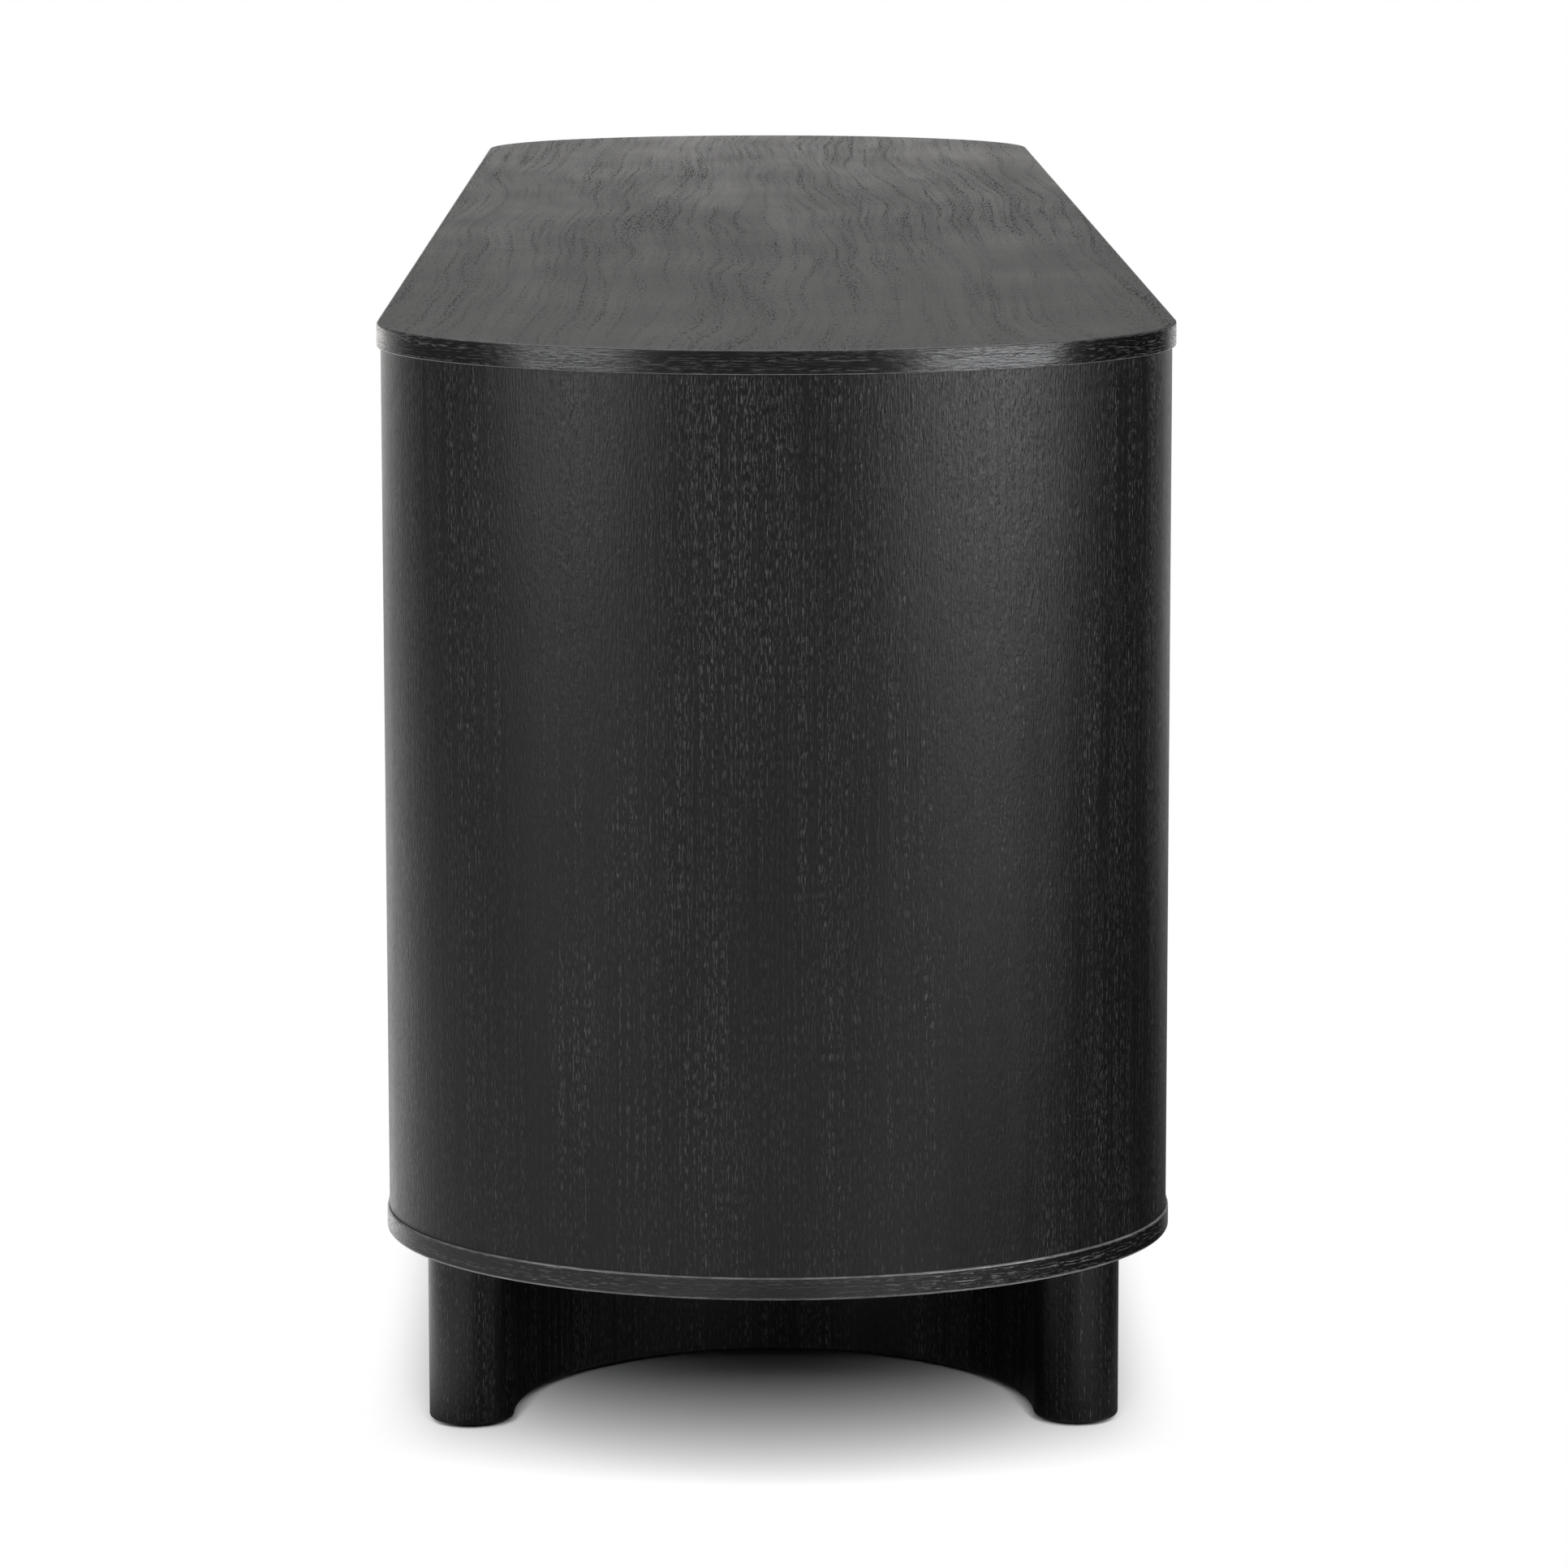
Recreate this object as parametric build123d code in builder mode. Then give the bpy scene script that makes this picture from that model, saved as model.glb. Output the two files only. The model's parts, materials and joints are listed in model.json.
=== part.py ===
"""A long, low six-drawer dresser with rounded ends on two curved legs.

Millimetres, +Z up. The origin is on the floor, under the middle of the dresser. X runs along the
length, and the drawers open towards -Y. "Left" and "right" are as seen by a person at the drawers.
"""
import os
from math import cos, radians, sin

from build123d import *

os.makedirs("parts", exist_ok=True)

# Overall
LENGTH = 2134.0  # end to end over the top panel
DEPTH = 457.0  # front to back over the top panel
END_DEPTH = 196.0  # reach of each half-elliptical end past the straight front

# Heights of the layers, from the floor up
GLIDE_HEIGHT = 5.0
LEG_HEIGHT = 198.0
BASE_THICK = 13.0
BODY_HEIGHT = 500.5
TOP_THICK = 13.5

# Outline steps between the layers
BODY_INSET = 2.3  # the top panel overhangs the body by this
BASE_INSET = 0.9  # and the base panel by this
TOP_EDGE_ROUND = 1.2
TOP_UNDER_ROUND = 0.6
BASE_EDGE_ROUND = 1.3
BASE_UNDER_ROUND = 1.6

# Carcass boards
SHELL_THICK = 15.0  # bent end panels
DIVIDER_THICK = 25.0
RAIL_THICK = 18.0
BACK_THICK = 12.0
BACK_REVEAL = 1.5  # shadow gap between the back panel and the end panels
GLUE_LINE = 0.1
RIB_BORDER = 55.0  # from the straight edge of a rib to its slot
RIB_SLOT_LENGTH = 200.0
RIB_SLOT_WIDTH = 44.0
RIB_SLOT_ROUND = 15.0
MID_RAIL_SETBACK = 30.0  # behind the front edges of the uprights
MID_RAIL_DEPTH = 70.0
STRETCHER_SETBACK = 55.0
STRETCHER_DEPTH = 60.0

# Drawers
GAP = 3.0  # reveal around every drawer front
COLUMNS = 3
ROWS = 2
FRONT_THICK = 18.0
FRONT_CLEARANCE = 1.5  # between a closed front and the boards behind it
FRONT_EDGE_ROUND = 1.2
SCOOP_WIDTH = 112.0  # finger scoop in the top edge of a front
SCOOP_DEPTH = 30.0
BOX_LENGTH = 390.0
BOX_HEIGHT = 190.0
BOX_LIFT = 14.0  # underside of the box above the bottom of its bay
BOX_SIDE = 12.0
BOX_BACK_DROP = 4.0  # the back is this much lower than the sides
PANEL_THICK = 6.0  # drawer bottom
PANEL_LIFT = 10.0  # drawer bottom above the lower edge of the sides
GROOVE_DEPTH = 5.0
GROOVE_PLAY = 0.2

# Runners, as distances out from the bay wall and half heights about their middle
RUNNER_SPACE = 12.7  # between bay wall and drawer box
SHEET = 1.5
CHANNEL_REACH = 9.0
CHANNEL_HALF = 21.0
CHANNEL_MOUTH_HALF = 14.0
SLIDER_HEAD_NEAR = 2.2
SLIDER_HEAD_FAR = 6.8
SLIDER_HEAD_HALF = 18.5
SLIDER_NECK_HALF = 12.0
SLIDER_PLATE_HALF = 17.0
CHANNEL_LENGTH = 380.0
SLIDER_LENGTH = 350.0

# Legs: half rings of thick bent board, open towards the ends of the dresser
LEG_OUTER_RADIUS = 219.5
LEG_THICK = 54.0
LEG_SETBACK = 502.0  # ring centre in from the end of the top panel
LEG_FOOT_ROUND = 2.5

# Hardware
BOLT_RADIUS = 4.0
BOLT_HEAD_RADIUS = 9.0
BOLT_HEAD_HEIGHT = 4.0
BOLT_HOLE_PLAY = 0.5
BOLT_INTO_LEG = 20.0
INSERT_RADIUS = 7.0
INSERT_DEPTH = 26.0
INSERT_PLAY = 0.1
BOLT_ANGLES = (110.0, 156.0, 204.0, 250.0)  # around the leg's ring centre
GLIDE_RADIUS = 10.0
GLIDE_ROUND = 2.0
GLIDE_STEM_RADIUS = 2.5
GLIDE_STEM_LENGTH = 20.0
GLIDE_ANGLES = (90.0, 180.0, 270.0)
SCREW_RADIUS = 1.75
SCREW_HEAD_RADIUS = 4.0
SCREW_HEAD_HEIGHT = 1.4
SCREW_SEAT_RADIUS = 4.3
SCREW_SEAT_DEPTH = 1.6  # so that the heads end just below the back's face
SCREW_INTO_BOARD = 22.0
SCREW_HOLE_PLAY = 0.4
SCREW_PILOT_PLAY = 0.05
SCREWS_PER_BOARD = 5
SCREW_END_MARGIN = 45.0
BUMPER_RADIUS = 3.5
BUMPER_HEIGHT = 1.1
BUMPER_INSET = 5.5  # bumper centre in from the edges of a drawer front
BUMPER_END_MARGIN = 16.0

# Levels worked out from the layers
BASE_LOW = GLIDE_HEIGHT + LEG_HEIGHT
BODY_LOW = BASE_LOW + BASE_THICK
BODY_HIGH = BODY_LOW + BODY_HEIGHT

# Plan positions
STRAIGHT = LENGTH - 2 * END_DEPTH
END_X = STRAIGHT / 2  # where the straight sides turn into the curved ends
FACE_Y = DEPTH / 2 - BODY_INSET  # outer faces of the body, front at -Y and back at +Y
SCREW_SEAT_Y = FACE_Y - SCREW_SEAT_DEPTH
FRONT_REAR_Y = -FACE_Y + FRONT_THICK
CARCASS_FRONT_Y = FRONT_REAR_Y + FRONT_CLEARANCE
CARCASS_BACK_Y = FACE_Y - BACK_THICK
PITCH = (STRAIGHT - GAP) / COLUMNS  # from one column of drawers to the next
FRONT_WIDTH = PITCH - GAP
FRONT_HEIGHT = (BODY_HEIGHT - (ROWS + 1) * GAP) / ROWS
ROW_PITCH = FRONT_HEIGHT + GAP
BAY_WIDTH = PITCH - DIVIDER_THICK
UPRIGHT_THICK = (STRAIGHT - COLUMNS * PITCH + DIVIDER_THICK) / 2
BOX_WIDTH = BAY_WIDTH - 2 * RUNNER_SPACE
SCOOP_RADIUS = ((SCOOP_WIDTH / 2) ** 2 + SCOOP_DEPTH**2) / (2 * SCOOP_DEPTH)
MID_RAIL_FRONT_Y = CARCASS_FRONT_Y + MID_RAIL_SETBACK
STRETCHER_FRONT_Y = CARCASS_FRONT_Y + STRETCHER_SETBACK
MID_RAIL_LOW = BODY_LOW + GAP / 2 + ROW_PITCH - RAIL_THICK / 2
RIB_LEVELS = (BODY_LOW, MID_RAIL_LOW, BODY_HIGH - RAIL_THICK)
LEG_CENTRE_X = LENGTH / 2 - LEG_SETBACK
LEG_MIDDLE_RADIUS = LEG_OUTER_RADIUS - LEG_THICK / 2
LEG_INNER_RADIUS = LEG_OUTER_RADIUS - LEG_THICK

COLUMN_NAMES = ("left", "middle", "right")
ROW_NAMES = ("lower", "upper")
COLUMN_CENTRES = [(column - (COLUMNS - 1) / 2) * PITCH for column in range(COLUMNS)]
BAY_FLOORS = (BODY_LOW, MID_RAIL_LOW + RAIL_THICK)
UPRIGHT_MIDDLE = END_X - UPRIGHT_THICK / 2
DIVIDER_MIDDLE = PITCH / 2
SCREW_SPACING = (BODY_HEIGHT - 2 * SCREW_END_MARGIN) / (SCREWS_PER_BOARD - 1)


def rounded_plan(inset):
    """The dresser's outline in plan, a straight middle with half-elliptical ends, shrunk by inset."""
    reach = END_DEPTH - inset
    half = DEPTH / 2 - inset
    with BuildSketch() as plan:
        with BuildLine():
            Line((-END_X, -half), (END_X, -half))
            EllipticalCenterArc((END_X, 0), reach, half, start_angle=-90, arc_size=180)
            Line((END_X, half), (-END_X, half))
            EllipticalCenterArc((-END_X, 0), reach, half, start_angle=90, arc_size=180)
        make_face()
    return plan.sketch


def half_ellipse(inset):
    """The right end of that outline alone, closed by a straight line at END_X."""
    reach = END_DEPTH - inset
    half = DEPTH / 2 - inset
    with BuildSketch() as end:
        with BuildLine():
            EllipticalCenterArc((END_X, 0), reach, half, start_angle=-90, arc_size=180)
            Line((END_X, half), (END_X, -half))
        make_face()
    return end.sketch


def board(x_low, x_high, y_low, y_high, z_low, z_high):
    """A plain rectangular board between the given limits."""
    with BuildPart() as piece:
        with BuildSketch(Plane.XY.offset(z_low)):
            with Locations(((x_low + x_high) / 2, (y_low + y_high) / 2)):
                Rectangle(x_high - x_low, y_high - y_low)
        extrude(amount=z_high - z_low)
    return piece.part


def on_ring(angle):
    """A point on the middle line of the right leg's ring."""
    return (
        LEG_CENTRE_X + LEG_MIDDLE_RADIUS * cos(radians(angle)),
        LEG_MIDDLE_RADIUS * sin(radians(angle)),
    )


def both_ends(points):
    """The same plan points at the right end and mirrored to the left end."""
    return list(points) + [(-x, y) for x, y in points]


BOLT_POINTS = both_ends([on_ring(angle) for angle in BOLT_ANGLES])
GLIDE_POINTS = both_ends([on_ring(angle) for angle in GLIDE_ANGLES])
BACK_SCREW_POINTS = [
    (x, BODY_LOW + SCREW_END_MARGIN + step * SCREW_SPACING)
    for x in (-UPRIGHT_MIDDLE, -DIVIDER_MIDDLE, DIVIDER_MIDDLE, UPRIGHT_MIDDLE)
    for step in range(SCREWS_PER_BOARD)
]


# Top panel: a thin slab with eased edges
with BuildPart() as top_panel:
    with BuildSketch(Plane.XY.offset(BODY_HIGH)):
        add(rounded_plan(0))
    extrude(amount=TOP_THICK)
    fillet(top_panel.faces().sort_by(Axis.Z)[-1].edges(), radius=TOP_EDGE_ROUND)
    fillet(top_panel.faces().sort_by(Axis.Z)[0].edges(), radius=TOP_UNDER_ROUND)
top_panel.part.label = "top_panel"
export_step(top_panel.part, "parts/top_panel.step")

# Base panel: its rounded rim stands a little proud of the body above it
with BuildPart() as base_panel:
    with BuildSketch(Plane.XY.offset(BASE_LOW)):
        add(rounded_plan(BASE_INSET))
    extrude(amount=BASE_THICK)
    fillet(base_panel.faces().sort_by(Axis.Z)[-1].edges(), radius=BASE_EDGE_ROUND)
    fillet(base_panel.faces().sort_by(Axis.Z)[0].edges(), radius=BASE_UNDER_ROUND)
    with Locations(Plane.XY.offset(BASE_LOW)):
        with Locations(*BOLT_POINTS):
            Hole(BOLT_RADIUS + BOLT_HOLE_PLAY)
base_panel.part.label = "base_panel"
export_step(base_panel.part, "parts/base_panel.step")

# Bent end panels
with BuildPart() as end_panel_right:
    with BuildSketch(Plane.XY.offset(BODY_LOW)):
        add(half_ellipse(BODY_INSET))
        add(half_ellipse(BODY_INSET + SHELL_THICK), mode=Mode.SUBTRACT)
    extrude(amount=BODY_HEIGHT)
end_panel_right.part.label = "end_panel_right"
export_step(end_panel_right.part, "parts/end_panel_right.step")

with BuildPart() as end_panel_left:
    add(end_panel_right.part)
    mirror(about=Plane.YZ, mode=Mode.REPLACE)
end_panel_left.part.label = "end_panel_left"
export_step(end_panel_left.part, "parts/end_panel_left.step")

# Ribs that hold each bent panel to its curve: at the bottom, the middle and the top
with BuildPart() as end_ribs_right:
    for level in RIB_LEVELS:
        with BuildSketch(Plane.XY.offset(level)):
            add(half_ellipse(BODY_INSET + SHELL_THICK + GLUE_LINE))
            with Locations((END_X + RIB_BORDER + RIB_SLOT_WIDTH / 2, 0)):
                RectangleRounded(
                    RIB_SLOT_WIDTH,
                    RIB_SLOT_LENGTH,
                    RIB_SLOT_ROUND,
                    mode=Mode.SUBTRACT,
                )
        extrude(amount=RAIL_THICK)
end_ribs_right.part.label = "end_ribs_right"
export_step(end_ribs_right.part, "parts/end_ribs_right.step")

with BuildPart() as end_ribs_left:
    add(end_ribs_right.part)
    mirror(about=Plane.YZ, mode=Mode.REPLACE)
end_ribs_left.part.label = "end_ribs_left"
export_step(end_ribs_left.part, "parts/end_ribs_left.step")

# Back panel, screwed to the uprights and dividers
with BuildPart() as back_panel:
    add(
        board(
            -END_X + BACK_REVEAL,
            END_X - BACK_REVEAL,
            CARCASS_BACK_Y,
            FACE_Y,
            BODY_LOW,
            BODY_HIGH,
        )
    )
    with Locations(Plane.XZ.offset(-FACE_Y)):
        with Locations(*BACK_SCREW_POINTS):
            Hole(SCREW_RADIUS + SCREW_HOLE_PLAY)
            Cylinder(
                SCREW_SEAT_RADIUS,
                SCREW_SEAT_DEPTH,
                align=(Align.CENTER, Align.CENTER, Align.MIN),
                mode=Mode.SUBTRACT,
            )
back_panel.part.label = "back_panel"
export_step(back_panel.part, "parts/back_panel.step")


def carcass_board(name, x_middle, thick):
    """An upright or divider, from the drawer fronts to the back panel, drilled for its screws."""
    with BuildPart() as piece:
        add(
            board(
                x_middle - thick / 2,
                x_middle + thick / 2,
                CARCASS_FRONT_Y,
                CARCASS_BACK_Y,
                BODY_LOW,
                BODY_HIGH,
            )
        )
        with Locations(Plane.XZ.offset(-CARCASS_BACK_Y)):
            with Locations(*[(x, z) for x, z in BACK_SCREW_POINTS if x == x_middle]):
                Cylinder(
                    SCREW_RADIUS + SCREW_PILOT_PLAY,
                    SCREW_INTO_BOARD,
                    align=(Align.CENTER, Align.CENTER, Align.MIN),
                    mode=Mode.SUBTRACT,
                )
    piece.part.label = name
    export_step(piece.part, f"parts/{name}.step")


carcass_board("side_upright_left", -UPRIGHT_MIDDLE, UPRIGHT_THICK)
carcass_board("side_upright_right", UPRIGHT_MIDDLE, UPRIGHT_THICK)
carcass_board("divider_left", -DIVIDER_MIDDLE, DIVIDER_THICK)
carcass_board("divider_right", DIVIDER_MIDDLE, DIVIDER_THICK)

# Flat rails between the two rows, one in each bay
with BuildPart() as mid_rails:
    for centre_x in COLUMN_CENTRES:
        with BuildSketch(Plane.XY.offset(MID_RAIL_LOW)):
            with Locations((centre_x, MID_RAIL_FRONT_Y + MID_RAIL_DEPTH / 2)):
                Rectangle(BAY_WIDTH, MID_RAIL_DEPTH)
        extrude(amount=RAIL_THICK)
mid_rails.part.label = "mid_rails"
export_step(mid_rails.part, "parts/mid_rails.step")

# Stretchers under the top panel, two in each bay
with BuildPart() as top_stretchers:
    for centre_x in COLUMN_CENTRES:
        for low_y in (STRETCHER_FRONT_Y, CARCASS_BACK_Y - STRETCHER_DEPTH):
            with BuildSketch(Plane.XY.offset(BODY_HIGH - RAIL_THICK)):
                with Locations((centre_x, low_y + STRETCHER_DEPTH / 2)):
                    Rectangle(BAY_WIDTH, STRETCHER_DEPTH)
            extrude(amount=RAIL_THICK)
top_stretchers.part.label = "top_stretchers"
export_step(top_stretchers.part, "parts/top_stretchers.step")

# Legs: a half ring with fully rounded ends, drilled for its inserts and glides
with BuildPart() as leg_right:
    with BuildSketch(Plane.XY.offset(GLIDE_HEIGHT)):
        with BuildLine():
            CenterArc((LEG_CENTRE_X, 0), LEG_OUTER_RADIUS, 90, 180)
            CenterArc((LEG_CENTRE_X, -LEG_MIDDLE_RADIUS), LEG_THICK / 2, -90, 180)
            CenterArc((LEG_CENTRE_X, 0), LEG_INNER_RADIUS, 90, 180)
            CenterArc((LEG_CENTRE_X, LEG_MIDDLE_RADIUS), LEG_THICK / 2, -90, 180)
        make_face()
    extrude(amount=LEG_HEIGHT)
    fillet(leg_right.faces().sort_by(Axis.Z)[0].edges(), radius=LEG_FOOT_ROUND)
    with Locations(Plane.XY.offset(BASE_LOW)):
        with Locations(*[on_ring(angle) for angle in BOLT_ANGLES]):
            Hole(INSERT_RADIUS + INSERT_PLAY, depth=INSERT_DEPTH)
    with Locations(Plane.XY.offset(GLIDE_HEIGHT)):
        with Locations(*[on_ring(angle) for angle in GLIDE_ANGLES]):
            Cylinder(
                GLIDE_STEM_RADIUS + INSERT_PLAY,
                GLIDE_STEM_LENGTH,
                align=(Align.CENTER, Align.CENTER, Align.MIN),
                mode=Mode.SUBTRACT,
            )
leg_right.part.label = "leg_right"
export_step(leg_right.part, "parts/leg_right.step")

with BuildPart() as leg_left:
    add(leg_right.part)
    mirror(about=Plane.YZ, mode=Mode.REPLACE)
leg_left.part.label = "leg_left"
export_step(leg_left.part, "parts/leg_left.step")

# Threaded inserts in the tops of the legs
with BuildPart() as leg_inserts:
    with BuildSketch(Plane.XY.offset(BASE_LOW - INSERT_DEPTH)):
        with Locations(*BOLT_POINTS):
            Circle(INSERT_RADIUS)
            Circle(BOLT_RADIUS + INSERT_PLAY, mode=Mode.SUBTRACT)
    extrude(amount=INSERT_DEPTH)
leg_inserts.part.label = "leg_inserts"
export_step(leg_inserts.part, "parts/leg_inserts.step")

# Bolts down through the base panel into the inserts, with wide flat heads
with BuildPart() as leg_bolts:
    with BuildSketch(Plane.XY.offset(BASE_LOW - BOLT_INTO_LEG)):
        with Locations(*BOLT_POINTS):
            Circle(BOLT_RADIUS)
    extrude(amount=BOLT_INTO_LEG + BASE_THICK)
    with BuildSketch(Plane.XY.offset(BODY_LOW)):
        with Locations(*BOLT_POINTS):
            Circle(BOLT_HEAD_RADIUS)
    extrude(amount=BOLT_HEAD_HEIGHT)
leg_bolts.part.label = "leg_bolts"
export_step(leg_bolts.part, "parts/leg_bolts.step")

# Glides: a flat round pad with a stem pressed up into the leg
with BuildPart() as glides:
    with BuildSketch(Plane.XY):
        with Locations(*GLIDE_POINTS):
            Circle(GLIDE_RADIUS)
    extrude(amount=GLIDE_HEIGHT)
    fillet(glides.edges().group_by(Axis.Z)[0], radius=GLIDE_ROUND)
    with BuildSketch(Plane.XY.offset(GLIDE_HEIGHT)):
        with Locations(*GLIDE_POINTS):
            Circle(GLIDE_STEM_RADIUS)
    extrude(amount=GLIDE_STEM_LENGTH)
glides.part.label = "glides"
export_step(glides.part, "parts/glides.step")

# Back panel screws, each head sunk in its seat
with BuildPart() as back_screws:
    with BuildSketch(Plane.XZ.offset(-SCREW_SEAT_Y)):
        with Locations(*BACK_SCREW_POINTS):
            Circle(SCREW_HEAD_RADIUS)
    extrude(amount=-SCREW_HEAD_HEIGHT)
    with BuildSketch(Plane.XZ.offset(-SCREW_SEAT_Y)):
        with Locations(*BACK_SCREW_POINTS):
            Circle(SCREW_RADIUS)
    extrude(amount=BACK_THICK - SCREW_SEAT_DEPTH + SCREW_INTO_BOARD)
back_screws.part.label = "back_screws"
export_step(back_screws.part, "parts/back_screws.step")

# Soft bumpers on the boards behind the corners of every drawer front
with BuildPart() as front_bumpers:
    with BuildSketch(Plane.XZ.offset(-CARCASS_FRONT_Y)):
        for centre_x in COLUMN_CENTRES:
            for row in range(ROWS):
                middle_z = BODY_LOW + GAP + row * ROW_PITCH + FRONT_HEIGHT / 2
                with Locations((centre_x, middle_z)):
                    with GridLocations(
                        FRONT_WIDTH - 2 * BUMPER_INSET,
                        FRONT_HEIGHT - 2 * BUMPER_END_MARGIN,
                        2,
                        2,
                    ):
                        Circle(BUMPER_RADIUS)
    extrude(amount=BUMPER_HEIGHT)
front_bumpers.part.label = "front_bumpers"
export_step(front_bumpers.part, "parts/front_bumpers.step")


def strip(wall_x, inward, near, far, middle_z, half_low, half_high):
    """One rectangle of a runner's section, near and far measured inward from the bay wall."""
    with Locations((wall_x + inward * (near + far) / 2, middle_z + (half_low + half_high) / 2)):
        Rectangle(far - near, half_high - half_low)


def runner_walls(centre_x):
    """The two walls of a bay, each with the direction that points into the bay."""
    return ((centre_x - BAY_WIDTH / 2, 1), (centre_x + BAY_WIDTH / 2, -1))


# Fixed halves of the runners: lipped channels on the walls of every bay
with BuildPart() as cabinet_runners:
    with BuildSketch(Plane.XZ.offset(-CARCASS_FRONT_Y - CHANNEL_LENGTH)):
        for centre_x in COLUMN_CENTRES:
            for bay_floor in BAY_FLOORS:
                middle_z = bay_floor + BOX_LIFT + BOX_HEIGHT / 2
                for wall_x, inward in runner_walls(centre_x):
                    strip(wall_x, inward, 0, SHEET, middle_z, -CHANNEL_HALF, CHANNEL_HALF)
                    for low, high, lip_low, lip_high in (
                        (CHANNEL_HALF - SHEET, CHANNEL_HALF, CHANNEL_MOUTH_HALF, CHANNEL_HALF),
                        (-CHANNEL_HALF, SHEET - CHANNEL_HALF, -CHANNEL_HALF, -CHANNEL_MOUTH_HALF),
                    ):
                        strip(wall_x, inward, 0, CHANNEL_REACH, middle_z, low, high)
                        lip_near = CHANNEL_REACH - SHEET
                        strip(wall_x, inward, lip_near, CHANNEL_REACH, middle_z, lip_low, lip_high)
    extrude(amount=CHANNEL_LENGTH)
cabinet_runners.part.label = "cabinet_runners"
export_step(cabinet_runners.part, "parts/cabinet_runners.step")


def drawer(row, column):
    """Every piece of one drawer, each written as a node of its own."""
    name = f"drawer_{ROW_NAMES[row]}_{COLUMN_NAMES[column]}"
    centre_x = COLUMN_CENTRES[column]
    front_low = BODY_LOW + GAP + row * ROW_PITCH
    front_high = front_low + FRONT_HEIGHT
    box_low = BAY_FLOORS[row] + BOX_LIFT
    box_rear_y = FRONT_REAR_Y + BOX_LENGTH
    outer = BOX_WIDTH / 2
    inner = outer - BOX_SIDE
    panel_low = box_low + PANEL_LIFT
    groove_high = panel_low + PANEL_THICK + GROOVE_PLAY
    groove_half = inner + GROOVE_DEPTH

    with BuildPart() as front:
        with BuildSketch(Plane.XZ.offset(-FRONT_REAR_Y)):
            with Locations((centre_x, (front_low + front_high) / 2)):
                Rectangle(FRONT_WIDTH, FRONT_HEIGHT)
            with Locations((centre_x, front_high + SCOOP_RADIUS - SCOOP_DEPTH)):
                Circle(SCOOP_RADIUS, mode=Mode.SUBTRACT)
        extrude(amount=FRONT_THICK)
        fillet(front.faces().sort_by(Axis.Y)[0].edges(), radius=FRONT_EDGE_ROUND)
        add(
            board(
                centre_x - groove_half,
                centre_x + groove_half,
                FRONT_REAR_Y - GROOVE_DEPTH,
                FRONT_REAR_Y,
                panel_low,
                groove_high,
            ),
            mode=Mode.SUBTRACT,
        )
    front.part.label = f"{name}_front"
    export_step(front.part, f"parts/{name}_front.step")

    for side_name, side in (("side_left", -1), ("side_right", 1)):
        near, far = sorted((centre_x + side * inner, centre_x + side * outer))
        groove_near, groove_far = sorted((centre_x + side * inner, centre_x + side * groove_half))
        with BuildPart() as box_side:
            add(board(near, far, FRONT_REAR_Y, box_rear_y, box_low, box_low + BOX_HEIGHT))
            add(
                board(groove_near, groove_far, FRONT_REAR_Y, box_rear_y, panel_low, groove_high),
                mode=Mode.SUBTRACT,
            )
        box_side.part.label = f"{name}_{side_name}"
        export_step(box_side.part, f"parts/{name}_{side_name}.step")

    with BuildPart() as box_back:
        add(
            board(
                centre_x - inner,
                centre_x + inner,
                box_rear_y - BOX_SIDE,
                box_rear_y,
                groove_high,
                box_low + BOX_HEIGHT - BOX_BACK_DROP,
            )
        )
    box_back.part.label = f"{name}_back"
    export_step(box_back.part, f"parts/{name}_back.step")

    with BuildPart() as box_bottom:
        add(
            board(
                centre_x - groove_half + GROOVE_PLAY,
                centre_x + groove_half - GROOVE_PLAY,
                FRONT_REAR_Y - GROOVE_DEPTH + GROOVE_PLAY,
                box_rear_y,
                panel_low,
                panel_low + PANEL_THICK,
            )
        )
    box_bottom.part.label = f"{name}_bottom"
    export_step(box_bottom.part, f"parts/{name}_bottom.step")

    middle_z = box_low + BOX_HEIGHT / 2
    with BuildPart() as runners:
        with BuildSketch(Plane.XZ.offset(-FRONT_REAR_Y - GAP - SLIDER_LENGTH)):
            for wall_x, inward in runner_walls(centre_x):
                for near, far, half in (
                    (SLIDER_HEAD_NEAR, SLIDER_HEAD_FAR, SLIDER_HEAD_HALF),
                    (SLIDER_HEAD_FAR, RUNNER_SPACE - SHEET, SLIDER_NECK_HALF),
                    (RUNNER_SPACE - SHEET, RUNNER_SPACE, SLIDER_PLATE_HALF),
                ):
                    strip(wall_x, inward, near, far, middle_z, -half, half)
        extrude(amount=SLIDER_LENGTH)
    runners.part.label = f"{name}_runners"
    export_step(runners.part, f"parts/{name}_runners.step")


for row_index in range(ROWS):
    for column_index in range(COLUMNS):
        drawer(row_index, column_index)
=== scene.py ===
"""The looks of a black dresser with rounded ends and six drawers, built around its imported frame.

Metres, +Z up, the drawers towards -Y. The top, the base, the bent ends, the legs and the drawer
fronts are meshes of their own, with eased edges and a map that runs along their grain. The back
panel and the boards and metal inside keep their shape from the frame.
"""
import json
import math

import bpy
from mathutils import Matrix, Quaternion, Vector

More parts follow.
